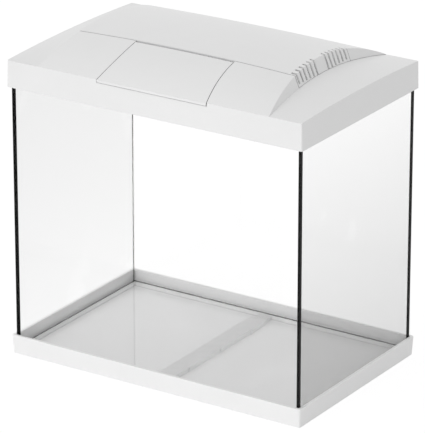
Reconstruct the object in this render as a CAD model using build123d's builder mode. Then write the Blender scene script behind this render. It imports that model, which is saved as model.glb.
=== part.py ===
"""Rimless glass aquarium on a moulded tray, with a lift-off hood, lamp and feeding flap.

Millimetres. X runs along the front glass, Y towards the back and Z up.
The origin is on the table under the middle of the tray.
"""

from build123d import *
import math
import os

os.makedirs("parts", exist_ok=True)

# Tray
tray_len = 402.0
tray_dep = 256.8
tray_h = 23.4
tray_wall = 3.8
tray_draft = 1.7
tray_corner = 1.5
floor_z = 0.4
floor_t = 1.0
ledge_z = 6.4
ledge_lip = 2.5
ledge_t = 2.0
rib_t = 1.5
rib_pitch = 44.0

# Beam under the bottom pane
beam_w = 22.5
beam_neck_len = 13.3
beam_neck_w = 16.5
beam_neck_drop = 1.2
beam_wall = 1.6
beam_gussets = (-66.5, 1.5, 66.0)
gusset_w = 1.6
gusset_out = 1.8

# Glass and silicone
glass_gap = 0.8
glass_t = 3.0
bottom_glass_t = 4.0
bead_t = 2.0
bead_w = 1.0
seam_t = 0.6
edge_t = 0.4
corner_bead = 1.2
glass_top = 345.0

# Hood outside
hood_in_x = 0.8
hood_in_y = 0.1
hood_over_glass = 11.2
rim_h = 32.6
rim_draft = 0.8
hood_corner = 2.0
hood_wall = 1.8
crown_rise = 35.2
crown_sag = 3.6
crown_sag_x = 139.0
shoulder_w = 42.6
cheek_lean = 0.41
shoulder_rise_out = 3.5
shoulder_rise_in = 14.8
shoulder_tuck = 5.9

# Hood inside
seat_t = 2.0
seat_w = 9.0
seat_gap = 0.25
cheek_flange_w = 15.8
back_flange_w = 20.0
notch_x = 140.0
notch_w = 40.0
notch_drop = 9.4

# Seam and rear cover
seam_y = -57.0
seam_gap = 0.9
strip_w = 7.0
strip_t = 1.9
beam_back = 3.2
beam_t = 3.4
beam_h = 8.0
cover_boss_r = 3.6
cover_boss_in = 31.8
cover_boss_behind = 12.0
cover_boss_back_in = 17.5
pad_drop = 10.182
pad_t = 2.2

# Vent slots in the right cheek
vent_centre_y = -2.5
vent_group_y = 31.3
vent_count = 6
vent_pitch = 7.8
vent_w = 3.0
vent_rise = 15.1
vent_tuck = 17.4
vent_line_y = 54.5
vent_line_w = 0.6
vent_line_d = 0.5

# Feeding flap
flap_rear_half = 66.5
flap_front_half = 74.0
flap_proud = 0.8
flap_t = 1.4
flap_gap = 0.8
flap_seat_gap = 0.3
flap_ledge_t = 1.8
flap_ledge_in = 4.0
flap_ledge_out = 2.0
flap_lip_t = 1.0
flap_lip_h = 2.9
barrel_r = 3.0
barrel_sink = 0.15
barrel_clear = 0.35
pin_r = 1.0
pin_fit = 0.04
pin_len = 12.0
ear_w = 6.0
ear_r = 4.4

# Lamp
lamp_in = 24.8
lamp_dep = 70.0
lamp_h = 15.0
lamp_wall = 2.0
lamp_y = 22.0
lamp_drop = 2.4
lamp_tab_in = 24.0
lamp_tab_w = 16.0
lamp_tab_out = 11.0
lamp_tab_t = 2.6
lamp_post_r = 4.0
lamp_fin_count = 7
lamp_fin_h = 3.0
lens_t = 2.0
lens_gap = 0.3
gasket_w = 2.4
gasket_t = 1.0
board_in = 10.0
board_dep = 44.0
board_t = 1.6
led_count = 12
led_rows = 2
led_size = 3.5
led_h = 1.0
gland_in = 36.0
gland_r = 5.5
gland_len = 16.0
gland_bore_r = 3.3

# Screws
screw_r = 1.25
screw_fit = 0.05
screw_clear_r = 1.7
screw_head_r = 2.8
screw_head_h = 1.9
screw_bite = 6.0
cover_screw_bite = 3.0

# Sizes that follow
hood_len = tray_len - 2 * hood_in_x
hood_dep = tray_dep - 2 * hood_in_y
rim_bottom = glass_top - hood_over_glass
rim_top = rim_bottom + rim_h
notch_top = rim_top - notch_drop
draft_slope = rim_draft / rim_h
top_half_len = hood_len / 2 - rim_draft
top_half_dep = hood_dep / 2 - rim_draft
cheek_base = top_half_len - shoulder_w
shoulder_in = cheek_base - shoulder_tuck
cheek_flange = cheek_base - cheek_flange_w
cover_boss_x = cheek_base - cover_boss_in
cover_boss_front_y = seam_y + cover_boss_behind
cover_boss_back_y = top_half_dep - cover_boss_back_in
vent_bottom = rim_top + vent_rise
vent_in = cheek_base - vent_tuck
flap_front_y = -top_half_dep - flap_proud
lamp_len = 2 * (cheek_base - lamp_in)
lamp_top = rim_top - lamp_drop
lamp_tab_x = lamp_len / 2 - lamp_tab_in
board_len = lamp_len - 2 * board_in
gland_x = lamp_len / 2 - gland_in
crown_r = (top_half_dep**2 + crown_rise**2) / (2 * crown_rise)
crown_z = rim_top + crown_rise - crown_r
cheek_cos = math.cos(math.atan(cheek_lean))
glass_half_len = tray_len / 2 - tray_wall - glass_gap
glass_half_dep = tray_dep / 2 - tray_wall - glass_gap
glass_low = ledge_z + bead_t
pane_h = glass_top - glass_low
flange_top = glass_top + seat_t


def box(x0, x1, y0, y1, z0, z1):
    """Block between two corners, for cutting and trimming."""
    with BuildPart() as block:
        with BuildSketch(Plane.XY.offset(z0)):
            with Locations(((x0 + x1) / 2, (y0 + y1) / 2)):
                Rectangle(x1 - x0, y1 - y0)
        extrude(amount=z1 - z0)
    return block.part


def rod(x, y, z0, z1, radius):
    """Upright round bar."""
    with BuildPart() as bar:
        with BuildSketch(Plane.XY.offset(z0)):
            with Locations((x, y)):
                Circle(radius)
        extrude(amount=z1 - z0)
    return bar.part


def boss(x, y, z0, z1, radius):
    """Upright six-sided boss for a screw."""
    with BuildPart() as block:
        with BuildSketch(Plane.XY.offset(z0)):
            with Locations((x, y)):
                RegularPolygon(radius, 6)
        extrude(amount=z1 - z0)
    return block.part


def cross_rod(y, z, x0, x1, radius):
    """Round bar along X."""
    with BuildPart() as bar:
        with BuildSketch(Plane.YZ.offset(x0)):
            with Locations((y, z)):
                Circle(radius)
        extrude(amount=x1 - x0)
    return bar.part


def save(part, name):
    """Name a finished piece and write it."""
    part.label = name
    export_step(part, f"parts/{name}.step")


# The arched forms that the hood's pieces share

def crown_arc(x, inset):
    """Radius and centre height of the crown's arc at a place along the hood."""
    rise = crown_rise - crown_sag * (x / crown_sag_x) ** 2
    radius = (top_half_dep**2 + rise**2) / (2 * rise)
    return radius - inset, rim_top + rise - radius


def crown_height(y, inset=0.0, x=0.0):
    """Height of the crown at a place from front to back, in the middle unless x is given."""
    radius, middle = crown_arc(x, inset)
    return middle + math.sqrt(radius**2 - y**2)


def rim_form(inset, low, high):
    """Drafted block inside the hood's upright walls."""
    shrink = inset + draft_slope * (low - rim_bottom)
    with BuildPart() as form:
        with BuildSketch(Plane.XY.offset(low)):
            if inset < hood_corner - 1:
                RectangleRounded(hood_len - 2 * shrink, hood_dep - 2 * shrink, hood_corner - inset)
            else:
                Rectangle(hood_len - 2 * shrink, hood_dep - 2 * shrink)
        extrude(amount=high - low, taper=math.degrees(math.atan(draft_slope)))
    return form.part


def crown_block(inset, low, grow=0.0):
    """Block under the domed crown, longer and deeper than the hood's top."""
    reach = cheek_base + 4 + grow
    side = top_half_dep + 3 + grow
    with BuildPart() as form:
        for x in (-reach, 0, reach):
            radius, middle = crown_arc(x, inset)
            end = middle + math.sqrt(radius**2 - side**2)
            with BuildSketch(Plane.YZ.offset(x)):
                with BuildLine():
                    ThreePointArc((-side, end), (0, middle + radius), (side, end))
                    Polyline((side, end), (side, low), (-side, low), (-side, end))
                make_face()
        loft()
    return form.part


def cheek_prism(inset, low):
    """Block between the two leaning cheeks."""
    top = crown_z + crown_r - inset
    low_half = cheek_base - cheek_lean * (low - rim_top) - inset / cheek_cos
    top_half = cheek_base - cheek_lean * (top + 1 - rim_top) - inset / cheek_cos
    with BuildPart() as form:
        with BuildSketch(Plane.XZ):
            with BuildLine():
                Polyline((-low_half, low), (low_half, low), (top_half, top + 1), (-top_half, top + 1), close=True)
            make_face()
        extrude(amount=top_half_dep - inset, both=True)
    return form.part


def crown_form(inset, low):
    """Crown arched from front to back and domed along its length, between its cheeks."""
    return crown_block(inset, low - 8) & cheek_prism(inset, low)


def shoulder_form(inset, reach, low):
    """Saddles between the cheeks and the side walls, low at the walls and high at the cheeks."""
    half_dep = top_half_dep - max(inset, 0.0)
    slope = (shoulder_rise_in - shoulder_rise_out) / (top_half_len - shoulder_in)
    with BuildPart() as form:
        for x in (reach, top_half_len - max(inset, 0.0)):
            rise = shoulder_rise_out + slope * (top_half_len - x)
            with BuildSketch(Plane.YZ.offset(x)):
                with BuildLine():
                    ends = [(-half_dep, rim_top - inset), (half_dep, rim_top - inset)]
                    ThreePointArc(ends[0], (0, rim_top + rise - inset), ends[1])
                    Polyline(ends[1], (half_dep, low), (-half_dep, low), ends[0])
                make_face()
        loft(ruled=True)
        mirror(about=Plane.YZ)
    return form.part


def crown_band(outer_inset, inner_inset, y0, y1):
    """Strip of the crown's skin between two depths under its surface."""
    skin = crown_block(outer_inset, rim_bottom) - crown_block(inner_inset, rim_bottom - 1, 1)
    return skin & box(-hood_len, hood_len, y0, y1, rim_bottom + 1, crown_z + crown_r + 10)


# Hinge of the flap: the barrel's back stands just before the seam's gap
seam_angle = math.asin(seam_y / crown_r)
axis_r = crown_r - barrel_r
axis_angle = seam_angle - (seam_gap + barrel_r) / axis_r
axis_y = axis_r * math.sin(axis_angle)
axis_z = crown_z + axis_r * math.cos(axis_angle)


def flap_outline(grow, front_y, back_y, low, high):
    """Upright block over the flap's plan, whose sides flare towards the front."""
    rear = flap_rear_half + grow
    front = flap_front_half + grow
    with BuildPart() as block:
        with BuildSketch(Plane.XY.offset(low)):
            with BuildLine():
                Polyline((-rear, axis_y), (-rear, back_y + 1), (rear, back_y + 1), (rear, axis_y))
                TangentArc((rear, axis_y), (front, flap_front_y), tangent=(0, -1))
                Polyline((front, flap_front_y), (front, front_y - 1), (-front, front_y - 1), (-front, flap_front_y))
                TangentArc((-rear, axis_y), (-front, flap_front_y), tangent=(0, -1))
            make_face()
            with Locations((0, (front_y + back_y) / 2)):
                Rectangle(4 * front, back_y - front_y, mode=Mode.INTERSECT)
        extrude(amount=high - low)
    return block.part


# Tray that holds the tank's foot

def tray_opening():
    """Half sizes of the window inside the ledge."""
    return glass_half_len - glass_t - ledge_lip, glass_half_dep - glass_t - ledge_lip


window_x, window_y = tray_opening()
cavity_x = tray_len / 2 - tray_wall
cavity_y = tray_dep / 2 - tray_wall
ledge_web = 1.8
channel_x = window_x + ledge_web
channel_y = window_y + ledge_web
channel_w = cavity_x - tray_draft - channel_x

with BuildPart() as base_tray:
    with BuildSketch():
        RectangleRounded(tray_len - 2 * tray_draft, tray_dep - 2 * tray_draft, tray_corner)
    extrude(amount=tray_h, taper=-math.degrees(math.atan(tray_draft / tray_h)))
    with BuildSketch(Plane.XY.offset(ledge_z)):
        Rectangle(2 * cavity_x, 2 * cavity_y)
    extrude(amount=tray_h, mode=Mode.SUBTRACT)
    with BuildSketch(Plane.XY.offset(floor_z + floor_t)):
        Rectangle(2 * window_x, 2 * window_y)
    extrude(amount=tray_h, mode=Mode.SUBTRACT)
    with BuildSketch():
        Rectangle(2 * window_x, 2 * window_y)
    extrude(amount=floor_z, mode=Mode.SUBTRACT)
    # Hollow channel under the ledge, crossed by ribs
    for count, pitch, run, side in (
        (round(2 * channel_x / rib_pitch), 2 * channel_x, "x", channel_y),
        (round(2 * channel_y / rib_pitch), 2 * channel_y, "y", channel_x),
    ):
        cell = pitch / count
        for i in range(count):
            middle = -pitch / 2 + cell * (i + 0.5)
            for way in (-1, 1):
                across = way * (side + channel_w / 2)
                spot = (middle, across) if run == "x" else (across, middle)
                size = (cell - rib_t, channel_w) if run == "x" else (channel_w, cell - rib_t)
                with BuildSketch():
                    with Locations(spot):
                        Rectangle(*size)
                extrude(amount=ledge_z - ledge_t, mode=Mode.SUBTRACT)
    top_rim = base_tray.faces().sort_by(Axis.Z)[-1]
    fillet(top_rim.outer_wire().edges(), 0.8)
save(base_tray.part, "base_tray")

beam_low = floor_z + floor_t
beam_half = window_y - beam_neck_len
neck_end = window_y - seat_gap
with BuildPart() as support_beam:
    with BuildSketch(Plane.XY.offset(beam_low)):
        Rectangle(beam_w, 2 * beam_half)
    extrude(amount=ledge_z - beam_low)
    with BuildSketch(Plane.XY.offset(beam_low)):
        Rectangle(beam_neck_w, 2 * neck_end)
    extrude(amount=ledge_z - beam_neck_drop - beam_low)
    # Gussets down both long sides
    for y in beam_gussets:
        with BuildSketch(Plane.XY.offset(beam_low)):
            with Locations((0, y)):
                Rectangle(beam_w + 2 * gusset_out, gusset_w)
        extrude(amount=ledge_z - 0.4 - beam_low)
    # Hollow underside in cells between cross ribs
    stops = [-beam_half + beam_wall, *beam_gussets, beam_half - beam_wall]
    for start, end in zip(stops, stops[1:]):
        y0 = start + (gusset_w / 2 if start in beam_gussets else 0)
        y1 = end - (gusset_w / 2 if end in beam_gussets else 0)
        with BuildSketch(Plane.XY.offset(beam_low)):
            with Locations((0, (y0 + y1) / 2)):
                Rectangle(beam_w - 2 * beam_wall, y1 - y0)
        extrude(amount=ledge_z - beam_wall - beam_low, mode=Mode.SUBTRACT)
save(support_beam.part, "support_beam")

# Glass panes
bottom_half_len = glass_half_len - glass_t - bead_w
bottom_half_dep = glass_half_dep - glass_t - bead_w
with BuildPart() as bottom_pane:
    with BuildSketch(Plane.XY.offset(ledge_z)):
        Rectangle(2 * bottom_half_len, 2 * bottom_half_dep)
    extrude(amount=bottom_glass_t)
save(bottom_pane.part, "bottom_pane")


def long_pane(y):
    """Front or back pane, whose ends are covered by the corner seals."""
    with BuildPart() as pane:
        with BuildSketch(Plane.XY.offset(glass_low)):
            with Locations((0, y)):
                Rectangle(2 * (glass_half_len - edge_t), glass_t)
        extrude(amount=pane_h)
        chamfer(pane.faces().sort_by(Axis.Z)[-1].edges().filter_by(Axis.X), 0.4)
    return pane.part


def side_pane(x):
    """Side pane, which stands between the front and back panes."""
    with BuildPart() as pane:
        with BuildSketch(Plane.XY.offset(glass_low)):
            with Locations((x, 0)):
                Rectangle(glass_t, 2 * (glass_half_dep - glass_t - seam_t))
        extrude(amount=pane_h)
        chamfer(pane.faces().sort_by(Axis.Z)[-1].edges().filter_by(Axis.Y), 0.4)
    return pane.part


save(long_pane(-(glass_half_dep - glass_t / 2)), "front_pane")
save(long_pane(glass_half_dep - glass_t / 2), "back_pane")
save(side_pane(-(glass_half_len - glass_t / 2)), "left_pane")
save(side_pane(glass_half_len - glass_t / 2), "right_pane")

# Silicone
with BuildPart() as bottom_seal:
    with BuildSketch(Plane.XY.offset(ledge_z)):
        Rectangle(2 * glass_half_len, 2 * glass_half_dep)
        Rectangle(2 * bottom_half_len, 2 * bottom_half_dep, mode=Mode.SUBTRACT)
    extrude(amount=bead_t)
save(bottom_seal.part, "bottom_seal")


def corner_seal(way_x, way_y):
    """Seal round a corner: over the long pane's end, behind it, and as a bead inside."""
    outer_x = glass_half_len
    outer_y = glass_half_dep
    inner_x = glass_half_len - glass_t
    end_x = glass_half_len - edge_t
    seam_y0 = glass_half_dep - glass_t
    seam_y1 = seam_y0 - seam_t
    points = [
        (outer_x, outer_y),
        (outer_x, seam_y1),
        (inner_x, seam_y1),
        (inner_x, seam_y1 - corner_bead),
        (inner_x - corner_bead, seam_y0),
        (end_x, seam_y0),
        (end_x, outer_y),
    ]
    with BuildPart() as seal:
        with BuildSketch(Plane.XY.offset(glass_low)):
            with BuildLine():
                Polyline(*[(way_x * x, way_y * y) for x, y in points], close=True)
            make_face()
        extrude(amount=pane_h - 0.4)
    return seal.part


for way_x, side in ((-1, "left"), (1, "right")):
    for way_y, end in ((-1, "front"), (1, "back")):
        save(corner_seal(way_x, way_y), f"corner_seal_{end}_{side}")

# Main moulding of the hood
cover_front = seam_y + seam_gap / 2
frame_back = seam_y - seam_gap / 2
far = hood_len
tall = crown_z + crown_r + 20

with BuildPart() as top_block:
    with BuildSketch(Plane.XY.offset(rim_top - 4)):
        RectangleRounded(2 * top_half_len, 2 * top_half_dep, hood_corner - rim_draft)
    extrude(amount=2 * crown_rise)
shoulders = shoulder_form(0, cheek_flange, rim_top - 4) & top_block.part
shoulder_room = shoulder_form(hood_wall, cheek_flange - 2, flange_top)
front_side = box(-far, far, -far, frame_back, flange_top, tall)
front_crown = crown_form(0, rim_top - 4) & top_block.part & front_side
front_room = crown_form(hood_wall, flange_top) & front_side

# Hatch: seat ledge under the flap's edges, ears for its pins
hatch_back = axis_y - ear_r - 1
ledge_top = flap_t + flap_seat_gap
ledge_low = ledge_top + flap_ledge_t
hatch_ledge = crown_band(ledge_top + 0.05, ledge_low, -top_half_dep + 0.9, hatch_back) & flap_outline(
    flap_gap + flap_ledge_out, -far, hatch_back, rim_bottom, tall
)
hatch_front_hole = -top_half_dep + hood_wall + flap_ledge_in
hatch_hole = flap_outline(-flap_ledge_in, hatch_front_hole, cover_front, flange_top, tall)
over_ledge = flap_outline(flap_gap, -far, cover_front, rim_top - 8, tall) - crown_block(ledge_top, rim_bottom, 1)
lip_low = crown_height(flap_front_y) - flap_lip_h
lip_room = box(
    -flap_front_half - flap_gap, flap_front_half + flap_gap, -far, flap_front_y + flap_lip_t + 0.4, lip_low - 0.6, tall
)
barrel_room = cross_rod(axis_y, axis_z, -flap_rear_half - flap_gap, flap_rear_half + flap_gap, barrel_r + barrel_clear)

ears = [
    (cross_rod(axis_y, axis_z, x0, x0 + ear_w, ear_r) + box(x0, x0 + ear_w, axis_y - ear_r, axis_y + ear_r, axis_z, tall))
    & crown_form(0.5, flange_top)
    & box(-far, far, -far, frame_back, flange_top, tall)
    for x0 in (-flap_rear_half - flap_gap - ear_w, flap_rear_half + flap_gap)
]

# Beam behind the seam, with strips that join it to the front skin and pads for screws
beam_front_y = axis_y + barrel_r + beam_back
seam_beam = crown_band(hood_wall + seat_gap, beam_h + hood_wall, beam_front_y, beam_front_y + beam_t)
seam_strip = crown_band(hood_wall + seat_gap, hood_wall + seat_gap + strip_t, seam_y - strip_w, beam_front_y + 1)
strip_root = crown_band(hood_wall - 0.6, hood_wall + seat_gap + strip_t + 0.1, seam_y - strip_w - 0.1, frame_back - 1)
strip_room = box(
    -flap_rear_half - flap_gap - 1, flap_rear_half + flap_gap + 1, -far, beam_front_y - 0.2, flange_top, tall
)
seam_carrier = ((seam_strip - strip_room) + seam_beam) & cheek_prism(hood_wall + seat_gap, flange_top)
root_joint = (strip_root - strip_room) & cheek_prism(hood_wall - 0.6, flange_top)
pad_z = crown_height(cover_boss_front_y, x=cover_boss_x) - pad_drop
cover_screw_spots = [
    (x, y) for x in (-cover_boss_x, cover_boss_x) for y in (cover_boss_front_y, cover_boss_back_y)
]

with BuildPart() as hood_frame:
    add(rim_form(0, rim_bottom, rim_top))
    add(shoulders)
    add(rim_form(hood_wall, flange_top, rim_top - hood_wall), mode=Mode.SUBTRACT)
    add(shoulder_room, mode=Mode.SUBTRACT)
    add(rim_form(hood_wall, rim_bottom - 1, glass_top), mode=Mode.SUBTRACT)
    with BuildSketch(Plane.XY.offset(rim_bottom)):
        RectangleRounded(2 * (glass_half_len - seat_w), 2 * (glass_half_dep - seat_w), 6.0)
    extrude(amount=rim_h / 2, mode=Mode.SUBTRACT)
    # Rear opening, with flanges left at both cheeks and at the back for the rear cover
    back_flange_y = top_half_dep - back_flange_w
    add(box(-cheek_flange, cheek_flange, frame_back - 1, back_flange_y, flange_top, tall), mode=Mode.SUBTRACT)
    add(front_crown)
    add(front_room, mode=Mode.SUBTRACT)
    add(seam_carrier)
    add(root_joint)
    # Hatch for the flap
    add(hatch_ledge)
    add(over_ledge, mode=Mode.SUBTRACT)
    add(lip_room, mode=Mode.SUBTRACT)
    add(hatch_hole, mode=Mode.SUBTRACT)
    for ear in ears:
        add(ear)
    add(barrel_room, mode=Mode.SUBTRACT)
    add(
        cross_rod(axis_y, axis_z, -flap_rear_half - pin_len / 2 - 1, flap_rear_half + pin_len / 2 + 1, pin_r + pin_fit),
        mode=Mode.SUBTRACT,
    )
    # Pads and holes for the cover's screws
    for x, y in cover_screw_spots:
        if y < 0:
            with BuildSketch(Plane.XY.offset(pad_z - pad_t)):
                with Locations((x, (beam_front_y + y + 5) / 2)):
                    Rectangle(16, y + 5 - beam_front_y)
            extrude(amount=pad_t)
        add(rod(x, y, flange_top + 2, pad_z + 1, screw_clear_r), mode=Mode.SUBTRACT)
    # Outlets for a lead and a hose through the back wall
    for x in (-notch_x, notch_x):
        with BuildSketch(Plane.XY.offset(rim_bottom - 1)):
            with Locations((x, hood_dep / 2)):
                Rectangle(notch_w, 2 * (hood_dep / 2 - glass_half_dep + seat_w + 1))
        extrude(amount=notch_top - rim_bottom + 1, mode=Mode.SUBTRACT)
save(hood_frame.part, "hood_frame")

# Rear cover: crown and cheeks behind the seam
lamp_posts = [
    (x, lamp_y + way * (lamp_dep / 2 + lamp_tab_out / 2))
    for x in (-lamp_tab_x, lamp_tab_x)
    for way in (-1, 1)
]
cover_posts = [boss(x, y, lamp_top, tall, lamp_post_r) for x, y in lamp_posts]
cover_posts += [
    boss(x, y, pad_z if y < 0 else rim_top, tall, cover_boss_r) for x, y in cover_screw_spots
]
cover_posts = [post & crown_form(hood_wall / 2, flange_top) for post in cover_posts]
vent_ys = [
    vent_centre_y + way * vent_group_y + vent_pitch * (i - (vent_count - 1) / 2)
    for way in (-1, 1)
    for i in range(vent_count)
]
vent_line = (crown_form(-1, rim_top) - crown_form(vent_line_d, rim_top - 1)) & box(
    vent_in + 3, cheek_base, vent_line_y - vent_line_w / 2, vent_line_y + vent_line_w / 2, vent_bottom - 3, tall
)
with BuildPart() as rear_cover:
    add(crown_form(0, rim_top - 2))
    add(crown_form(hood_wall, rim_top - 3), mode=Mode.SUBTRACT)
    add(box(-far, far, -far, cover_front, 0, tall), mode=Mode.SUBTRACT)
    add(box(-far, far, -far, far, 0, rim_top + seat_gap), mode=Mode.SUBTRACT)
    add(shoulder_form(-seat_gap, cheek_flange - 8, rim_top - 8), mode=Mode.SUBTRACT)
    for post in cover_posts:
        add(post)
    for x, y in lamp_posts:
        add(rod(x, y, lamp_top - 1, lamp_top + screw_bite + 1, screw_r + screw_fit), mode=Mode.SUBTRACT)
    for x, y in cover_screw_spots:
        foot = pad_z if y < 0 else rim_top
        add(rod(x, y, foot - 1, foot + cover_screw_bite + 0.5, screw_r + screw_fit), mode=Mode.SUBTRACT)
    for y in vent_ys:
        add(box(vent_in, cheek_base, y - vent_w / 2, y + vent_w / 2, vent_bottom, tall), mode=Mode.SUBTRACT)
    add(vent_line, mode=Mode.SUBTRACT)
save(rear_cover.part, "rear_cover")


def screw(x, y, head_top, reach):
    """Pan-head screw driven upwards, with its head's upper face at head_top."""
    with BuildPart() as piece:
        with BuildSketch(Plane.XY.offset(head_top - screw_head_h)):
            with Locations((x, y)):
                Circle(screw_head_r)
        extrude(amount=screw_head_h)
        with BuildSketch(Plane.XY.offset(head_top)):
            with Locations((x, y)):
                Circle(screw_r)
        extrude(amount=reach)
    return piece.part


with BuildPart() as cover_screws:
    for x, y in cover_screw_spots:
        under = pad_z - pad_t if y < 0 else rim_top - hood_wall
        through = pad_t if y < 0 else hood_wall
        add(screw(x, y, under, through + cover_screw_bite))
save(cover_screws.part, "cover_screws")

# Feeding flap, hinged on two pins along its rear edge
hinge_axis = Axis((0, axis_y, axis_z), (1, 0, 0))
barrel_mid_r = barrel_r - barrel_sink
barrel_end_r = barrel_mid_r - crown_sag * (flap_rear_half / crown_sag_x) ** 2
with BuildPart() as feeding_flap:
    add(crown_band(0, flap_t, flap_front_y, axis_y))
    add(flap_outline(0, flap_front_y, axis_y, rim_bottom, tall), mode=Mode.INTERSECT)
    with BuildSketch(Plane.XY.offset(lip_low)):
        with Locations((0, flap_front_y + flap_lip_t / 2)):
            Rectangle(2 * (flap_front_half - 0.4), flap_lip_t)
    extrude(amount=flap_lip_h - 0.3)
    # Barrel, which narrows towards its ends as the dome falls away
    with BuildSketch(Plane(origin=(0, axis_y, axis_z), x_dir=(1, 0, 0), z_dir=(0, -1, 0))):
        with BuildLine():
            ends = [(-flap_rear_half, 0), (-flap_rear_half, barrel_end_r)]
            Polyline(*ends, (0, barrel_mid_r), (flap_rear_half, barrel_end_r), (flap_rear_half, 0), close=True)
        make_face()
    revolve(axis=hinge_axis)
    for way in (-1, 1):
        x0 = way * (flap_rear_half - pin_len / 2 - 0.3)
        x1 = way * (flap_rear_half + 1)
        add(
            cross_rod(axis_y, axis_z, min(x0, x1), max(x0, x1), pin_r + pin_fit),
            mode=Mode.SUBTRACT,
        )
save(feeding_flap.part, "feeding_flap")

with BuildPart() as hinge_pins:
    for way in (-1, 1):
        x0 = way * (flap_rear_half - pin_len / 2)
        x1 = way * (flap_rear_half + pin_len / 2)
        add(cross_rod(axis_y, axis_z, min(x0, x1), max(x0, x1), pin_r))
save(hinge_pins.part, "hinge_pins")

# Lamp
lamp_low = lamp_top - lamp_h
cavity_top = lamp_top - lamp_wall
with BuildPart() as lamp_housing:
    with BuildSketch(Plane.XY.offset(lamp_low)):
        with Locations((0, lamp_y)):
            RectangleRounded(lamp_len, lamp_dep, 5.0)
    extrude(amount=lamp_h)
    with BuildSketch(Plane.XY.offset(lamp_low)):
        with Locations((0, lamp_y)):
            Rectangle(lamp_len - 2 * lamp_wall, lamp_dep - 2 * lamp_wall)
    extrude(amount=lens_t + gasket_t, mode=Mode.SUBTRACT)
    with BuildSketch(Plane.XY.offset(lamp_low)):
        with Locations((0, lamp_y)):
            rim_in = 2 * (lamp_wall + gasket_w + lens_gap)
            Rectangle(lamp_len - rim_in, lamp_dep - rim_in)
    extrude(amount=cavity_top - lamp_low, mode=Mode.SUBTRACT)
    # Tabs for the screws and cooling fins on top
    for x, y in lamp_posts:
        with BuildSketch(Plane.XY.offset(lamp_top - lamp_tab_t)):
            with Locations((x, y + (1.5 if y < lamp_y else -1.5))):
                Rectangle(lamp_tab_w, lamp_tab_out + 3)
        extrude(amount=lamp_tab_t)
        add(rod(x, y, lamp_low, lamp_top + 1, screw_clear_r), mode=Mode.SUBTRACT)
    with BuildSketch(Plane.XY.offset(lamp_top)):
        with Locations((0, lamp_y)):
            with GridLocations(0, (lamp_dep - 16) / (lamp_fin_count - 1), 1, lamp_fin_count):
                Rectangle(2 * lamp_tab_x - 30, 1.6)
    extrude(amount=lamp_fin_h)
    # Hole for the gland in the back wall
    with BuildSketch(Plane.XZ.offset(-(lamp_y + lamp_dep / 2 + 1))):
        with Locations((gland_x, (lamp_low + lamp_top) / 2)):
            Circle(gland_bore_r + 0.9)
    extrude(amount=lamp_wall + gasket_w + lens_gap + 2, mode=Mode.SUBTRACT)
save(lamp_housing.part, "lamp_housing")

lens_len = lamp_len - 2 * (lamp_wall + lens_gap)
lens_dep = lamp_dep - 2 * (lamp_wall + lens_gap)
with BuildPart() as lamp_lens:
    with BuildSketch(Plane.XY.offset(lamp_low)):
        with Locations((0, lamp_y)):
            Rectangle(lens_len, lens_dep)
    extrude(amount=lens_t)
save(lamp_lens.part, "lamp_lens")

with BuildPart() as lens_gasket:
    with BuildSketch(Plane.XY.offset(lamp_low + lens_t)):
        with Locations((0, lamp_y)):
            Rectangle(lens_len, lens_dep)
            Rectangle(lens_len - 2 * gasket_w, lens_dep - 2 * gasket_w, mode=Mode.SUBTRACT)
    extrude(amount=gasket_t)
save(lens_gasket.part, "lens_gasket")

board_low = cavity_top - board_t
with BuildPart() as led_board:
    with BuildSketch(Plane.XY.offset(board_low)):
        with Locations((0, lamp_y)):
            Rectangle(board_len, board_dep)
    extrude(amount=board_t)
save(led_board.part, "led_board")

with BuildPart() as led_chips:
    with BuildSketch(Plane.XY.offset(board_low - led_h)):
        with Locations((0, lamp_y)):
            with GridLocations(board_len / led_count, board_dep / led_rows, led_count, led_rows):
                Rectangle(led_size, led_size)
    extrude(amount=led_h)
save(led_chips.part, "led_chips")

with BuildPart() as lamp_screws:
    for x, y in lamp_posts:
        add(screw(x, y, lamp_top - lamp_tab_t, lamp_tab_t + screw_bite))
save(lamp_screws.part, "lamp_screws")

# Gland for the lamp's lead, seated in the housing's back wall
gland_y = lamp_y + lamp_dep / 2
gland_z = (lamp_low + lamp_top) / 2
with BuildPart() as cable_gland:
    with BuildSketch(Plane.XZ.offset(-gland_y)):
        with Locations((gland_x, gland_z)):
            Circle(gland_r)
    extrude(amount=-3.0)
    with BuildSketch(Plane.XZ.offset(-(gland_y + 3.0))):
        with Locations((gland_x, gland_z)):
            Circle(gland_bore_r + 0.8)
    extrude(amount=-(gland_len - 3.0), taper=3)
    with BuildSketch(Plane.XZ.offset(-gland_y)):
        with Locations((gland_x, gland_z)):
            Circle(gland_bore_r + 0.8)
    extrude(amount=lamp_wall)
    with BuildSketch(Plane.XZ.offset(-(gland_y + gland_len))):
        with Locations((gland_x, gland_z)):
            Circle(gland_bore_r - 0.9)
    extrude(amount=gland_len, mode=Mode.SUBTRACT)
save(cable_gland.part, "cable_gland")
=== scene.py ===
"""Looks of a glass aquarium: white moulded hood and tray, clear panes, black silicone and a lamp."""

import math

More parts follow.
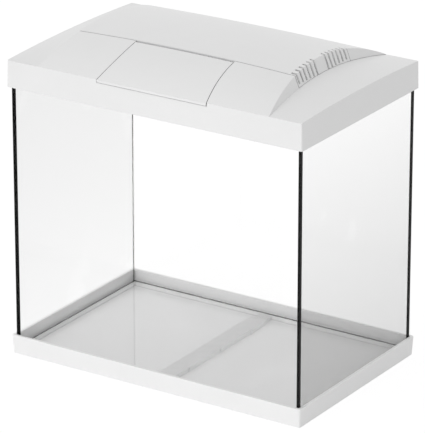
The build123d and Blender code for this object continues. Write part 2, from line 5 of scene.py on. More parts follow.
import bmesh
import bpy
from bpy.props import FloatProperty, FloatVectorProperty, PointerProperty
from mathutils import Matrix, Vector


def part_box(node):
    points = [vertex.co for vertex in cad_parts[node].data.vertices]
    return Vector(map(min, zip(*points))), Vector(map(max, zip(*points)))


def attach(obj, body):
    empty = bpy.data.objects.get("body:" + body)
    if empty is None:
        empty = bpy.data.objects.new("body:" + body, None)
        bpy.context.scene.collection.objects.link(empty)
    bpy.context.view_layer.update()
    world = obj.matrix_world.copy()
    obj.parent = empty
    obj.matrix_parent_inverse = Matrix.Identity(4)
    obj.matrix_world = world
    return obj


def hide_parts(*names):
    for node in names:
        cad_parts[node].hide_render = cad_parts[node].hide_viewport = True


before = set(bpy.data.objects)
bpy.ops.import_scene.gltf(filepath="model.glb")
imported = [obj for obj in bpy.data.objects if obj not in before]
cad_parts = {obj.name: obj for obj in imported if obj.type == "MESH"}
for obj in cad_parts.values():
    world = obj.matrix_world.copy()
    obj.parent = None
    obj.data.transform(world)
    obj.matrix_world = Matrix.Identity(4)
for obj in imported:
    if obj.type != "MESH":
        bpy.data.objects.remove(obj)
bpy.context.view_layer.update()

bl_info = {
    "name": "Glass aquarium looks",
    "version": (1, 0, 0),
    "blender": (4, 5, 0),
    "location": "View3D > Sidebar > Aquarium",
    "description": "Finishes the panes, seals, hood, tray and lamp of a small aquarium",
    "category": "Object",
}

HOOD_NODES = ("hood_frame", "rear_cover", "feeding_flap")
BLACK_SEALS = (
    "bottom_seal",
    "corner_seal_front_left",
    "corner_seal_front_right",
    "corner_seal_back_right",
    "lens_gasket",
)

# Lengths in metres, and the distance under which two points are one
MM = 0.001
MERGE = 0.001 * MM

# Steps of a full turn, digits of a metre that solids are sorted by, and the values that a noise mostly
# keeps between
ROUND_STEPS = 24
PLACE_DIGITS = 4
NOISE_LOW = 0.3
NOISE_HIGH = 0.7

# Moulded plastic: its cloudiness, its grain, its rounded edges, and the painted shade in its narrow gaps,
# which darkens the colour between two values of nearness
PLASTIC_IOR = 1.46
FLOW_SHARE = 0.7
DARKEST = 0.985
PALEST = 1.01
SMOOTHER = 0.04
ROUGHER = 0.05
GRAIN_DEPTH = 0.01 * MM
GRAIN_STRENGTH = 0.35
EDGE_ROUND = 0.5 * MM
CREVICE = 1.3 * MM
CREVICE_SHUT = 0.3
CREVICE_OPEN = 0.8
# Share of the colour that the painted shade leaves in the narrowest gaps
PAINTED_CREVICE_SHADE = 0.4

# Panes: the heights of the foot and head of a painted reflection, the share of colour that it leaves at
# each of the two, and the share of the view that is bent but not mirrored
GLASS_IOR = 1.46
REFLECTION_FOOT = 0.02
REFLECTION_HEAD = 0.34
CLEAR_PASS = (1.0, 1.0)
LEFT_PAINTED_REFLECTION = (0.965, 0.905)
RIGHT_PAINTED_REFLECTION = (0.83, 0.965)
CALM_SIDES = 0.8
CALM_BOTTOM = 0.35

# Screws: values without a unit are shares of the head's radius, but of its height for the recess's depth,
# of the shank's radius for the tip, and of the recess's own width for its taper
SCREW_R = 1.25 * MM
SCREW_POINT = 0.9 * MM
SCREW_TIP = 0.3
SCREW_HEAD = 1.9 * MM
HEAD_FACE = 0.62
HEAD_SHOULDER = 0.86
SHOULDER_RISE = 0.15 * MM
HEAD_ROUND = 0.7 * MM
RECESS_ARM = 0.5
RECESS_HALF = 0.13
RECESS_DEPTH = 0.55
RECESS_TAPER = 0.8

# Thread: its ridge starts at a share of the shank's radius, reaches a share of the pitch to each side,
# and keeps clear of the head and the tip
THREAD_DEPTH = 0.3 * MM
THREAD_PITCH = 0.9 * MM
THREAD_STEPS = 16
THREAD_SUNK = 0.96
THREAD_FOOT = 0.4
THREAD_FROM_HEAD = 0.3 * MM
THREAD_FROM_TIP = 0.5 * MM

# Hinge pins: the ends' chamfer is a share of the radius
PIN_CHAMFER = 0.35

# Light sources: the package, the step in its face, and the dome's radius as a share of the package's side
PACKAGE_HEIGHT = 0.6 * MM
PACKAGE_RIM = 0.3 * MM
PACKAGE_STEP = 0.15 * MM
DOME_SHARE = 0.38
DOME_SEGMENTS = 14
DOME_RINGS = 8

# Lens
LENS_IOR = 1.49
LENS_RIB = 2.4 * MM
LENS_RIB_DEPTH = 0.6 * MM
LENS_RIB_POINTS = 6

# Gland: radii are shares of the flange's, but of the sleeve's at a groove's bottom and of the end's at its
# face, and a groove's places are shares of the pitch
GLAND_STEPS = 32
GLAND_IN_WALL = 2.0 * MM
GLAND_FLANGE = 3.0 * MM
GLAND_BORE = 0.44
GLAND_SLEEVE = 0.74
GLAND_END = 0.62
FLANGE_INNER = 0.94
FLANGE_OUTER = 0.9
FLANGE_BREAK_INNER = 0.3 * MM
FLANGE_BREAK_OUTER = 0.5 * MM
GROOVES = 5
GROOVES_FROM_ENDS = 1.0 * MM
GROOVE_BOTTOM = 0.88
GROOVE_EDGE = 0.55
GROOVE_START = 0.62
GROOVE_STOP = 0.92
END_BREAK = 0.8 * MM
END_FACE = 0.94

# Stage: the floor's own brightness, the lights' places, and the directions that their backs point in
FLOOR_SIZE = 15.0
FLOOR_GLOW = 0.93
OVERHEAD_BACK = (-0.45, -0.10, 0.88)
OVERHEAD_SPREAD = math.radians(60)
PANEL_WIDTH = 1.4
PANEL_HEIGHT = 0.25
PANEL_PLACE = (0.0, -0.95, 0.14)
PANEL_BACK = (0.0, -0.95, -0.06)
CAMERA_TARGET = (-0.000542, 0.0, 0.1737)
SENSOR_HEIGHT = 36.0
VIEW_END = 100.0


class Graph:
    """The nodes of a new material or world, made and linked in short calls."""

    def __init__(self, name, library="materials", output="OutputMaterial"):
        self.owner = getattr(bpy.data, library).new(name)
        self.owner.use_nodes = True
        self.nodes = self.owner.node_tree.nodes
        self.links = self.owner.node_tree.links
        self.nodes.clear()
        self.output = self.node(output)

    def node(self, kind, settings=None, **inputs):
        """Adds a node. Settings are its own properties, and inputs its sockets."""
        made = self.nodes.new("ShaderNode" + kind)
        for key, value in (settings or {}).items():
            setattr(made, key, value)
        for key, value in inputs.items():
            self.put(made, key.replace("_", " "), value)
        return made

    def put(self, node, key, value):
        """Links a socket, or sets its value. The key is the socket's name, or n and its number."""
        numbered = key[0] == "n" and key[1:].isdigit()
        socket = node.inputs[int(key[1:]) if numbered else key]
        if isinstance(value, bpy.types.NodeSocket):
            self.links.new(value, socket)
        else:
            socket.default_value = value

    def math(self, operation, first, second):
        """One Math node."""
        return self.node("Math", {"operation": operation}, n0=first, n1=second).outputs[0]

    def place(self):
        """Object coordinates."""
        return self.node("TexCoord").outputs["Object"]

    def noise(self, scale, detail=2.0, roughness=0.5):
        """Noise over the object's own coordinates, from 0 to 1."""
        made = self.node("TexNoise", Vector=self.place(), Scale=scale, Detail=detail, Roughness=roughness)
        return made.outputs["Fac"]

    def spread(self, value, low, high, start=0.0, end=1.0):
        """Moves a value from the range between start and end to the range between low and high."""
        made = self.node("MapRange", n0=value, n1=start, n2=end, n3=low, n4=high)
        return made.outputs["Result"]

    def blend(self, share, first, second, mode="MIX"):
        """Mixes two colours."""
        made = self.node("Mix", {"data_type": "RGBA", "blend_type": mode}, n0=share, n6=first, n7=second)
        return made.outputs[2]

    def bump(self, height, depth, strength, normal=None):
        """A normal from a height that is depth metres deep."""
        made = self.node("Bump", Height=height, Distance=depth, Strength=strength)
        if normal:
            self.put(made, "Normal", normal)
        return made.outputs["Normal"]

    def nearness(self, distance, alone):
        """1 on open faces and less in gaps narrower than the distance, of the piece alone or of all."""
        made = self.node("AmbientOcclusion", {"samples": 8, "only_local": alone}, Distance=distance)
        return made.outputs["AO"]

    def background_rays(self):
        """1 for rays that show the background, straight, mirrored or through glass, and 0 for the rest."""
        path = self.node("LightPath")
        seen = self.math("MAXIMUM", path.outputs["Is Camera Ray"], path.outputs["Is Glossy Ray"])
        return self.math("MAXIMUM", seen, path.outputs["Is Transmission Ray"])

    def shader(self, kind, **inputs):
        """A shader's output."""
        return self.node(kind, **inputs).outputs[0]

    def mixed(self, share, first, second):
        """Mixes two shaders."""
        return self.shader("MixShader", n0=share, n1=first, n2=second)

    def finish(self, shader):
        """Shows this shader, and gives the material or world."""
        self.links.new(shader, self.output.inputs["Surface"])
        return self.owner


def grey(value):
    """A grey colour."""
    return (value, value, value, 1.0)


def shade(colour, share):
    """A colour, made darker or paler."""
    return (*(part * share for part in colour), 1.0)


def give(node, material):
    """Puts a material on a CAD node."""
    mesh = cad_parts[node].data
    mesh.materials.clear()
    mesh.materials.append(material)


def solids(node):
    """Lowest and highest corners of each separate solid of a CAD node, in order of place."""
    bm = bmesh.new()
    bm.from_mesh(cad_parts[node].data)
    bmesh.ops.remove_doubles(bm, verts=bm.verts, dist=MERGE)
    left = set(bm.verts)
    boxes = []
    while left:
        waiting = [left.pop()]
        places = []
        while waiting:
            vert = waiting.pop()
            places.append(vert.co.copy())
            near = [edge.other_vert(vert) for edge in vert.link_edges]
            waiting += [other for other in near if other in left]
            left.difference_update(near)
        low = Vector([min(place[i] for place in places) for i in range(3)])
        high = Vector([max(place[i] for place in places) for i in range(3)])
        boxes.append((low, high))
    bm.free()
    return sorted(boxes, key=lambda box: [round(value, PLACE_DIGITS) for value in box[0]])


def add_object(name, data):
    """A new object of the scene."""
    made = bpy.data.objects.new(name, data)
    bpy.context.scene.collection.objects.link(made)
    return made


def make_piece(name, bm, slot, material, *nodes):
    """Turns a finished bmesh into a piece that rides on the hood and stands for CAD nodes."""
    bmesh.ops.recalc_face_normals(bm, faces=bm.faces)
    mesh = bpy.data.meshes.new(name)
    bm.to_mesh(mesh)
    bm.free()
    mesh.materials.append(material)
    made = add_object(name, mesh)
    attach(made, "hood")
    if nodes:
        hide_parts(*nodes)


def only_verts(geometry):
    """The vertices among an operator's results."""
    return [item for item in geometry if isinstance(item, bmesh.types.BMVert)]


def is_level(verts, height):
    """Whether the vertices all lie at a height."""
    return all(abs(vert.co.z - height) < MERGE for vert in verts)


def turn(bm, centre, axis, profile, steps=ROUND_STEPS, closed=False):
    """Spins a profile of (radius, way along the axis) points round a line, with its poles merged."""
    before = set(bm.verts)
    across = axis.orthogonal().normalized()
    verts = [bm.verts.new(centre + across * radius + axis * along) for radius, along in profile]
    edges = [bm.edges.new(pair) for pair in zip(verts, verts[1:])]
    if closed:
        edges.append(bm.edges.new((verts[-1], verts[0])))
    bmesh.ops.spin(
        bm, geom=verts + edges, cent=centre, axis=axis, angle=2 * math.pi, steps=steps, use_merge=True
    )
    bmesh.ops.remove_doubles(bm, verts=[vert for vert in bm.verts if vert not in before], dist=MERGE)


def add_thread(bm, centre, start, end, root, crest):
    """Rolled thread: a three-sided ridge that climbs round the shank."""
    turns = int((end - start) / THREAD_PITCH) - 1
    middle = start + THREAD_PITCH / 2
    foot = THREAD_FOOT * THREAD_PITCH
    sunk = THREAD_SUNK * root
    corners = ((sunk, middle - foot), (crest, middle), (sunk, middle + foot))
    verts = [bm.verts.new(centre + Vector((radius, 0, height))) for radius, height in corners]
    edges = [bm.edges.new((verts[i], verts[(i + 1) % 3])) for i in range(3)]
    bm.faces.new(verts)
    made = bmesh.ops.spin(
        bm,
        geom=verts + edges,
        cent=centre,
        axis=(0, 0, 1),
        dvec=(0, 0, THREAD_PITCH / THREAD_STEPS),
        angle=2 * math.pi * turns,
        steps=THREAD_STEPS * turns,
    )
    bm.faces.new(only_verts(made["geom_last"]))


def add_recess(bm, face, head_r, ring):
    """Fills the face of a screw's head inside the ring of edges, round a tapered cross recess."""
    arm, half = RECESS_ARM * head_r, RECESS_HALF * head_r
    corners = [(arm, -half), (arm, half), (half, half), (half, arm), (-half, arm), (-half, half)]
    corners += [(-x, -y) for x, y in corners]
    cross = [bm.verts.new(face + Vector((x, y, 0))) for x, y in corners]
    rim = [bm.edges.new((cross[i], cross[(i + 1) % len(cross)])) for i in range(len(cross))]
    bmesh.ops.triangle_fill(bm, edges=ring + rim, use_beauty=True, normal=(0, 0, -1))
    walls = bmesh.ops.extrude_edge_only(bm, edges=rim)["geom"]
    depth = Vector((0, 0, RECESS_DEPTH * SCREW_HEAD))
    for vert in only_verts(walls):
        vert.co = face + (vert.co - face) * RECESS_TAPER + depth
    bmesh.ops.contextual_create(bm, geom=[item for item in walls if isinstance(item, bmesh.types.BMEdge)])


def add_screw(bm, low, high):
    """Pan-head screw driven upwards, with a cross recess, a rolled thread and a point."""
    head_r = (high.x - low.x) / 2
    centre = Vector(((low.x + high.x) / 2, (low.y + high.y) / 2, 0.0))
    neck = low.z + SCREW_HEAD
    root = SCREW_R - THREAD_DEPTH
    tip = high.z
    profile = (
        (HEAD_FACE * head_r, low.z),
        (HEAD_SHOULDER * head_r, low.z + SHOULDER_RISE),
        (head_r, low.z + HEAD_ROUND),
        (head_r, neck),
        (root, neck),
        (root, tip - SCREW_POINT),
        (SCREW_TIP * root, tip),
        (0.0, tip),
    )
    before = set(bm.edges)
    turn(bm, centre, Vector((0, 0, 1)), profile)
    added = [edge for edge in bm.edges if edge not in before]
    ring = [edge for edge in added if edge.is_boundary and is_level(edge.verts, low.z)]
    add_recess(bm, centre + Vector((0, 0, low.z)), head_r, ring)
    add_thread(bm, centre, neck + THREAD_FROM_HEAD, tip - THREAD_FROM_TIP, root, SCREW_R)


def add_pin(bm, low, high):
    """Turned pin along X with chamfered ends."""
    radius = (high.z - low.z) / 2
    half = (high.x - low.x) / 2
    chamfer = PIN_CHAMFER * radius
    profile = (
        (0.0, -half),
        (radius - chamfer, -half),
        (radius, chamfer - half),
        (radius, half - chamfer),
        (radius - chamfer, half),
        (0.0, half),
    )
    turn(bm, (low + high) / 2, Vector((1, 0, 0)), profile)


def add_light_source(packages, domes, low, high):
    """Square package with a stepped face, and its dome of phosphor in a mesh of its own."""
    side = high.x - low.x
    centre = (low + high) / 2
    underside = high.z - PACKAGE_HEIGHT
    cube = bmesh.ops.create_cube(packages, size=1.0)["verts"]
    bmesh.ops.scale(packages, vec=(side, side, PACKAGE_HEIGHT), verts=cube)
    bmesh.ops.translate(packages, vec=(centre.x, centre.y, (high.z + underside) / 2), verts=cube)
    faces = {face for vert in cube for face in vert.link_faces}
    under = [face for face in faces if is_level(face.verts, underside)]
    bmesh.ops.inset_region(packages, faces=under, thickness=PACKAGE_RIM)
    sunk = list({vert for face in under for vert in face.verts})
    bmesh.ops.translate(packages, vec=(0, 0, PACKAGE_STEP), verts=sunk)
    ball = bmesh.ops.create_uvsphere(domes, u_segments=DOME_SEGMENTS, v_segments=DOME_RINGS, radius=1.0)
    reach = underside + PACKAGE_STEP - low.z
    bmesh.ops.scale(domes, vec=(DOME_SHARE * side, DOME_SHARE * side, reach), verts=ball["verts"])
    bmesh.ops.translate(domes, vec=(centre.x, centre.y, underside + PACKAGE_STEP), verts=ball["verts"])


class AquariumFinish(bpy.types.PropertyGroup):
    """Colours and surface of the plastic and the glass."""

    white: FloatVectorProperty(
        name="White plastic",
        description="Colour of the hood and the beam",
        default=(0.80, 0.80, 0.80),
        subtype="COLOR",
        min=0.0,
        max=1.0,
    )
    tray_white: FloatVectorProperty(
        name="Tray",
        description="Colour of the tray",
        default=(0.87, 0.87, 0.87),
        subtype="COLOR",
        min=0.0,
        max=1.0,
    )
    sheen: FloatProperty(
        name="Plastic roughness",
        description="Roughness of the moulded surface",
        default=0.42,
        subtype="FACTOR",
        min=0.0,
        max=1.0,
    )
    glass_tint: FloatVectorProperty(
        name="Glass tint",
        description="Colour of the panes",
        default=(0.998, 0.998, 0.998),
        subtype="COLOR",
        min=0.0,
        max=1.0,
    )


class AquariumStage(bpy.types.PropertyGroup):
    """Lights and camera."""

    ambient: FloatProperty(
        name="Room light",
        description="Strength of the even light from all round",
        default=0.73,
        min=0.0,
        max=2.0,
    )
    overhead: FloatProperty(
        name="Overhead light",
        description="Strength of the soft light from above the left end",
        default=0.52,
        min=0.0,
        max=10.0,
    )
    front: FloatProperty(
        name="Front light",
        description="Power of the low panel in front of the tank, in watts",
        default=2.7,
        min=0.0,
        max=100.0,
    )
    camera_turn: FloatProperty(
        name="Camera turn",
        description="Camera's angle round the tank, from the front glass",
        default=math.radians(33.038),
        unit="ROTATION",
        subtype="ANGLE",
    )
    camera_rise: FloatProperty(
        name="Camera rise",
        description="Camera's angle above the table",
        default=math.radians(21.182),
        unit="ROTATION",
        subtype="ANGLE",
    )
    camera_distance: FloatProperty(
        name="Camera distance",
        description="From the camera to the point that it looks at",
        default=4.364988,
        unit="LENGTH",
        subtype="DISTANCE",
    )
    camera_lens: FloatProperty(
        name="Focal length",
        description="Focal length on a frame 36 mm high",
        default=310.39,
        min=1.0,
        max=1000.0,
    )


def moulded_white(name, tone, alone):
    """White moulded plastic with a fine grain, faint flow marks, rounded edges, and painted shade in
    narrow gaps.
    """
    look = bpy.context.scene.aquarium_finish
    g = Graph(name)
    flow = g.noise(scale=9.0, detail=3.0)
    patches = g.noise(scale=42.0)
    grain = g.noise(scale=2600.0, roughness=0.6)
    flow_part = g.math("MULTIPLY", flow, FLOW_SHARE)
    patch_part = g.math("MULTIPLY", patches, 1.0 - FLOW_SHARE)
    cloud = g.math("ADD", flow_part, patch_part)
    pale_share = g.spread(cloud, 0.0, 1.0, NOISE_LOW, NOISE_HIGH)
    # Painted shade: the colour darkens towards the painted crevice shade where nearness falls between the
    # two values
    unshaded_share = g.spread(g.nearness(CREVICE, alone), 0.0, 1.0, CREVICE_SHUT, CREVICE_OPEN)
    colour = g.blend(pale_share, shade(tone, DARKEST), shade(tone, PALEST))
    edges = g.node("Bevel", {"samples": 6}, Radius=EDGE_ROUND).outputs[0]
    plastic = g.shader(
        "BsdfPrincipled",
        Base_Color=g.blend(unshaded_share, shade(tone, PAINTED_CREVICE_SHADE), colour),
        Roughness=g.spread(cloud, look.sheen - SMOOTHER, look.sheen + ROUGHER, NOISE_LOW, NOISE_HIGH),
        Normal=g.bump(grain, GRAIN_DEPTH, GRAIN_STRENGTH, normal=edges),
        IOR=PLASTIC_IOR,
    )
    return g.finish(plastic)


def clear_glass(name, light, calm_share):
    """Clear float glass, greyed by a painted reflection that leaves the two given shares of colour, at its
    foot and at its head.

    The calm share of the view is bent by the pane but not mirrored, which keeps its reflections faint.
    Rays from lamps pass it straight, so that what is inside gets light.
    """
    look = bpy.context.scene.aquarium_finish
    g = Graph(name)
    height = g.node("SeparateXYZ", Vector=g.place()).outputs["Z"]
    # Painted reflection: the light argument holds the shares that grey the pane's colour at its foot and
    # at its head
    share = g.spread(height, *light, REFLECTION_FOOT, REFLECTION_HEAD)
    painted_reflection_grey = g.node("CombineColor", Red=share, Green=share, Blue=share).outputs[0]
    tint = g.blend(1.0, painted_reflection_grey, shade(look.glass_tint, 1.0), mode="MULTIPLY")
    smears = g.noise(scale=14.0, detail=4.0, roughness=0.55)
    mirrored = g.shader(
        "BsdfPrincipled",
        Base_Color=tint,
        Roughness=g.spread(smears, 0.0, 0.012, start=0.55, end=0.8),
        IOR=GLASS_IOR,
        Transmission_Weight=1.0,
    )
    calm = g.shader("BsdfRefraction", Color=tint, Roughness=0.0, IOR=GLASS_IOR)
    path = g.node("LightPath")
    passing = g.math("MAXIMUM", path.outputs["Is Shadow Ray"], path.outputs["Is Diffuse Ray"])
    straight = g.shader("BsdfTransparent", Color=grey(1.0))
    return g.finish(g.mixed(passing, g.mixed(calm_share, mirrored, calm), straight))


def silicone(g, dark, pale, clear=0.0):
    """Shader of cured silicone with a soft, slightly uneven skin."""
    skin = g.noise(scale=160.0, detail=3.0)
    return g.shader(
        "BsdfPrincipled",
        Base_Color=g.blend(skin, grey(dark), grey(pale)),
        Roughness=g.spread(skin, 0.42, 0.6),
        Normal=g.bump(skin, 0.1 * MM, strength=0.3),
        Specular_IOR_Level=0.12,
        Transmission_Weight=clear,
    )


def black_silicone():
    """Black silicone of the tank's beads, the lens's gasket and the gland."""
    g = Graph("black_silicone")
    return g.finish(silicone(g, 0.006, 0.012))


def clear_silicone():
    """Colourless silicone, which shows as a soft pale line."""
    g = Graph("clear_silicone")
    cloudy = silicone(g, 0.72, 0.80, clear=0.5)
    straight = g.shader("BsdfTransparent", Color=grey(0.99))
    return g.finish(g.mixed(0.9, cloudy, straight))


def steel():
    """Zinc plated steel."""
    g = Graph("plated_steel")
    marks = g.noise(scale=900.0, detail=3.0, roughness=0.6)
    plated = g.shader(
        "BsdfPrincipled",
        Base_Color=g.blend(marks, grey(0.50), grey(0.66)),
        Metallic=1.0,
        Roughness=g.spread(marks, 0.25, 0.42),
    )
    return g.finish(plated)


def lamp_plastic():
    """Dark moulded plastic of the lamp's housing."""
    g = Graph("lamp_plastic")
    grain = g.noise(scale=1400.0, roughness=0.6)
    plastic = g.shader(
        "BsdfPrincipled",
        Base_Color=g.blend(g.noise(scale=20.0), grey(0.030), grey(0.045)),
        Roughness=g.spread(g.noise(scale=60.0), 0.42, 0.55),
        Normal=g.bump(grain, 0.02 * MM, strength=0.5),
    )
    return g.finish(plastic)


def lamp_clear():
    """Clear plastic of the lens, with fine grooves along its ribs."""
    g = Graph("lamp_clear")
    grooves = g.node("TexWave", {"bands_direction": "Y"}, Vector=g.place(), Scale=120.0).outputs["Fac"]
    clear = g.shader(
        "BsdfPrincipled",
        Base_Color=grey(0.97),
        Roughness=0.12,
        IOR=LENS_IOR,
        Normal=g.bump(grooves, 0.2 * MM, strength=0.5),
        Transmission_Weight=1.0,
    )
    return g.finish(clear)


def board_white():
    """White solder mask."""
    g = Graph("board_white")
    mask = g.shader(
        "BsdfPrincipled",
        Base_Color=g.blend(g.noise(scale=90.0), grey(0.68), grey(0.74)),
        Roughness=g.spread(g.noise(scale=300.0), 0.3, 0.4),
    )
    return g.finish(mask)


def package_white():
    """Pale ceramic of the light sources' packages."""
    g = Graph("package_white")
    ceramic = g.shader(
        "BsdfPrincipled",
        Base_Color=g.blend(g.noise(scale=1800.0), grey(0.74), grey(0.82)),
        Roughness=g.spread(g.noise(scale=900.0), 0.35, 0.5),
    )
    return g.finish(ceramic)


def phosphor():
    """Yellow phosphor of the light sources."""
    g = Graph("phosphor")
    yellow = g.shader(
        "BsdfPrincipled",
        Base_Color=g.blend(g.noise(scale=1500.0), (0.80, 0.62, 0.10, 1.0), (0.90, 0.76, 0.22, 1.0)),
        Roughness=g.spread(g.noise(scale=700.0), 0.3, 0.5),
    )
    return g.finish(yellow)


class AQUARIUM_OT_plastic(bpy.types.Operator):
    """Finish the white moulded pieces"""

    bl_idname = "aquarium.plastic"
    bl_label = "White plastic"

    def execute(self, context):
        look = context.scene.aquarium_finish
        hood = moulded_white("hood_white", look.white, alone=False)
        for node in HOOD_NODES:
            give(node, hood)
        give("base_tray", moulded_white("tray_white", look.tray_white, alone=True))
        give("support_beam", moulded_white("beam_white", look.white, alone=True))
        return {"FINISHED"}


class AQUARIUM_OT_glass(bpy.types.Operator):
    """Finish the panes"""

    bl_idname = "aquarium.glass"
    bl_label = "Glass panes"

    def execute(self, context):
        glass = clear_glass("clear_glass", CLEAR_PASS, CALM_SIDES)
        give("front_pane", glass)
        give("back_pane", glass)
        give("bottom_pane", clear_glass("bottom_glass", CLEAR_PASS, CALM_BOTTOM))
        # Painted reflection on the side panes: the left one darker towards its head, the right one darker
        # towards its foot
        give("left_pane", clear_glass("left_glass", LEFT_PAINTED_REFLECTION, CALM_SIDES))
        give("right_pane", clear_glass("right_glass", RIGHT_PAINTED_REFLECTION, CALM_SIDES))
        return {"FINISHED"}


class AQUARIUM_OT_seals(bpy.types.Operator):
    """Finish the silicone beads"""

    bl_idname = "aquarium.seals"
    bl_label = "Silicone"

    def execute(self, context):
        black = black_silicone()
        for node in BLACK_SEALS:
            give(node, black)
        give("corner_seal_back_left", clear_silicone())
        return {"FINISHED"}


class AQUARIUM_OT_fasteners(bpy.types.Operator):
    """Make the screws and the flap's pins"""

    bl_idname = "aquarium.fasteners"
    bl_label = "Screws and pins"

    def execute(self, context):
        plated = steel()
        self.make_group("cover_screws", "cover_screws_threaded", add_screw, plated)
        self.make_group("lamp_screws", "lamp_screws_threaded", add_screw, plated)
        self.make_group("hinge_pins", "hinge_pins_turned", add_pin, plated)
        return {"FINISHED"}

    def make_group(self, node, name, add, material):
        """One piece with a fastener in the place of each solid of the node."""
        bm = bmesh.new()
        for low, high in solids(node):
            add(bm, low, high)
        make_piece(name, bm, "steel", material, node)


class AQUARIUM_OT_lamp(bpy.types.Operator):
    """Make the lamp's ribbed lens, its light sources and its gland, and finish the rest"""

    bl_idname = "aquarium.lamp"
    bl_label = "Lamp"

    def execute(self, context):
        give("lamp_housing", lamp_plastic())
        give("led_board", board_white())
        self.make_sources()
        self.make_lens()
        self.make_gland()
        return {"FINISHED"}

    def make_sources(self):
        """The packages and their domes, under the board."""
        packages, domes = bmesh.new(), bmesh.new()
        for low, high in solids("led_chips"):
            add_light_source(packages, domes, low, high)
        make_piece("led_packages", packages, "board", package_white(), "led_chips")
        make_piece("led_domes", domes, "led", phosphor())

    def make_lens(self):
        """The lens: a plate with round ribs along its underside."""
        low, high = (Vector(corner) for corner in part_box("lamp_lens"))
        count = round((high.y - low.y) / LENS_RIB)
        pitch = (high.y - low.y) / count
        outline = [(low.y, high.z), (high.y, high.z)]
        for i in range(count * LENS_RIB_POINTS, -1, -1):
            hollow = 1.0 - math.sin(math.pi * (i % LENS_RIB_POINTS) / LENS_RIB_POINTS)
            outline.append((low.y + pitch * i / LENS_RIB_POINTS, low.z + LENS_RIB_DEPTH * hollow))
        bm = bmesh.new()
        end = bm.faces.new([bm.verts.new((low.x, y, z)) for y, z in outline])
        run = bmesh.ops.extrude_face_region(bm, geom=[end])["geom"]
        bmesh.ops.translate(bm, vec=(high.x - low.x, 0, 0), verts=only_verts(run))
        make_piece("lamp_lens_ribbed", bm, "lens", lamp_clear(), "lamp_lens")

    def make_gland(self):
        """The gland: a flange, a grooved sleeve and the bore for the lead."""
        low, high = (Vector(corner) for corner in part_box("cable_gland"))
        radius = (high.z - low.z) / 2
        centre = Vector(((low.x + high.x) / 2, low.y, (low.z + high.z) / 2))
        length = high.y - low.y
        bore, sleeve, end_r = GLAND_BORE * radius, GLAND_SLEEVE * radius, GLAND_END * radius
        flange_end = GLAND_IN_WALL + GLAND_FLANGE
        profile = [
            (bore, 0.0),
            (sleeve, 0.0),
            (sleeve, GLAND_IN_WALL),
            (FLANGE_INNER * radius, GLAND_IN_WALL),
            (radius, GLAND_IN_WALL + FLANGE_BREAK_INNER),
            (radius, flange_end - FLANGE_BREAK_OUTER),
            (FLANGE_OUTER * radius, flange_end),
        ]
        start = flange_end + GROOVES_FROM_ENDS
        pitch = (length - GROOVES_FROM_ENDS - start) / GROOVES
        for i in range(GROOVES):
            outer = sleeve + (end_r - sleeve) * i / GROOVES
            inner = GROOVE_BOTTOM * outer
            along = start + pitch * i
            profile += [(outer, along), (outer, along + GROOVE_EDGE * pitch)]
            profile += [(inner, along + GROOVE_START * pitch), (inner, along + GROOVE_STOP * pitch)]
        profile += [(end_r, length - END_BREAK), (END_FACE * end_r, length), (bore, length)]
        bm = bmesh.new()
        turn(bm, centre, Vector((0, 1, 0)), profile, steps=GLAND_STEPS, closed=True)
        make_piece("cable_gland_grooved", bm, "silicone", black_silicone(), "cable_gland")


def pale_floor():
    """Pale floor that shows white and keeps the object's shadow."""
    g = Graph("pale_floor")
    dust = g.noise(scale=3.0)
    lit = g.shader("BsdfDiffuse", Color=g.blend(dust, grey(0.80), grey(0.82)))
    shadowed = g.shader("BsdfDiffuse", Color=g.blend(dust, grey(0.09), grey(0.11)))
    glow = g.shader("Emission", Color=grey(1.0), Strength=FLOOR_GLOW)
    shown = g.shader("AddShader", n0=shadowed, n1=glow)
    return g.finish(g.mixed(g.background_rays(), lit, shown))


def studio(ambient):
    """Even room light of the given strength, which shows as white."""
    g = Graph("studio", library="worlds", output="OutputWorld")
    room = g.shader("Background", Color=grey(1.0), Strength=ambient)
    white = g.shader("Background", Color=grey(1.0), Strength=1.0)
    return g.finish(g.mixed(g.background_rays(), room, white))


def turn_back(thing, direction):
    """Turns a light or the camera so that its back points in the direction."""
    thing.rotation_euler = Vector(direction).to_track_quat("Z", "Y").to_euler()


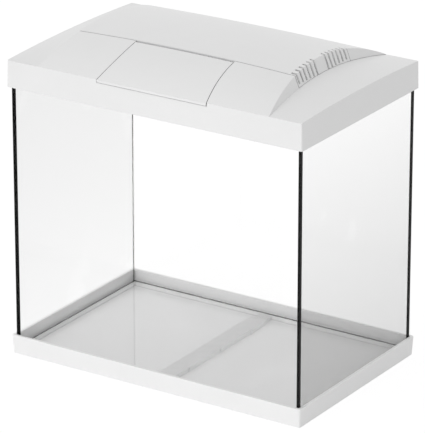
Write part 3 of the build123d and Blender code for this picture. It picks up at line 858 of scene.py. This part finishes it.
class AQUARIUM_OT_stage(bpy.types.Operator):
    """Make the floor, the lights and the camera"""

    bl_idname = "aquarium.stage"
    bl_label = "Stage"

    def execute(self, context):
        stage = context.scene.aquarium_stage
        self.make_floor()
        context.scene.world = studio(stage.ambient)
        self.make_overhead(stage)
        self.make_front_panel(stage)
        context.scene.camera = self.make_camera(stage)
        context.scene.view_settings.view_transform = "Standard"
        return {"FINISHED"}

    def make_floor(self):
        """The floor that the tray stands on."""
        mesh = bpy.data.meshes.new("floor")
        bm = bmesh.new()
        bmesh.ops.create_grid(bm, x_segments=1, y_segments=1, size=FLOOR_SIZE)
        bm.to_mesh(mesh)
        bm.free()
        mesh.materials.append(pale_floor())
        add_object("floor", mesh)

    def make_overhead(self, stage):
        """The soft light from above the left end."""
        data = bpy.data.lights.new("overhead", "SUN")
        data.energy = stage.overhead
        data.angle = OVERHEAD_SPREAD
        turn_back(add_object("overhead", data), OVERHEAD_BACK)

    def make_front_panel(self, stage):
        """The low panel in front, which neither the camera nor a reflection shows."""
        data = bpy.data.lights.new("front_panel", "AREA")
        data.shape = "RECTANGLE"
        data.size = PANEL_WIDTH
        data.size_y = PANEL_HEIGHT
        data.energy = stage.front
        panel = add_object("front_panel", data)
        panel.location = PANEL_PLACE
        turn_back(panel, PANEL_BACK)
        panel.visible_camera = False
        panel.visible_glossy = False

    def make_camera(self, stage):
        """The camera, at the photograph's viewing angle."""
        data = bpy.data.cameras.new("camera")
        data.sensor_fit = "VERTICAL"
        data.sensor_height = SENSOR_HEIGHT
        data.lens = stage.camera_lens
        data.clip_end = VIEW_END
        camera = add_object("camera", data)
        turned, rise = stage.camera_turn, stage.camera_rise
        level = math.cos(rise)
        away = Vector((math.sin(turned) * level, -math.cos(turned) * level, math.sin(rise)))
        camera.location = Vector(CAMERA_TARGET) + away * stage.camera_distance
        turn_back(camera, away)
        return camera


OPERATORS = (
    AQUARIUM_OT_plastic,
    AQUARIUM_OT_glass,
    AQUARIUM_OT_seals,
    AQUARIUM_OT_fasteners,
    AQUARIUM_OT_lamp,
    AQUARIUM_OT_stage,
)


class AQUARIUM_PT_sidebar(bpy.types.Panel):
    """Lists the aquarium's settings and operators"""

    bl_label = "Aquarium"
    bl_idname = "AQUARIUM_PT_sidebar"
    bl_space_type = "VIEW_3D"
    bl_region_type = "UI"
    bl_category = "Aquarium"

    def draw(self, context):
        layout = self.layout
        for group in ("aquarium_finish", "aquarium_stage"):
            settings = getattr(context.scene, group)
            for key in settings.__annotations__:
                layout.prop(settings, key)
        for operator in OPERATORS:
            layout.operator(operator.bl_idname)


CLASSES = (AquariumFinish, AquariumStage, *OPERATORS, AQUARIUM_PT_sidebar)


def register():
    """Registers the classes and their settings."""
    for cls in CLASSES:
        bpy.utils.register_class(cls)
    bpy.types.Scene.aquarium_finish = PointerProperty(type=AquariumFinish)
    bpy.types.Scene.aquarium_stage = PointerProperty(type=AquariumStage)


def unregister():
    """Removes the classes and their settings."""
    del bpy.types.Scene.aquarium_stage
    del bpy.types.Scene.aquarium_finish
    for cls in reversed(CLASSES):
        bpy.utils.unregister_class(cls)


def main():
    """Makes every piece."""
    register()
    bpy.ops.aquarium.plastic()
    bpy.ops.aquarium.glass()
    bpy.ops.aquarium.seals()
    bpy.ops.aquarium.fasteners()
    bpy.ops.aquarium.lamp()
    bpy.ops.aquarium.stage()


if __name__ == "__main__":
    main()
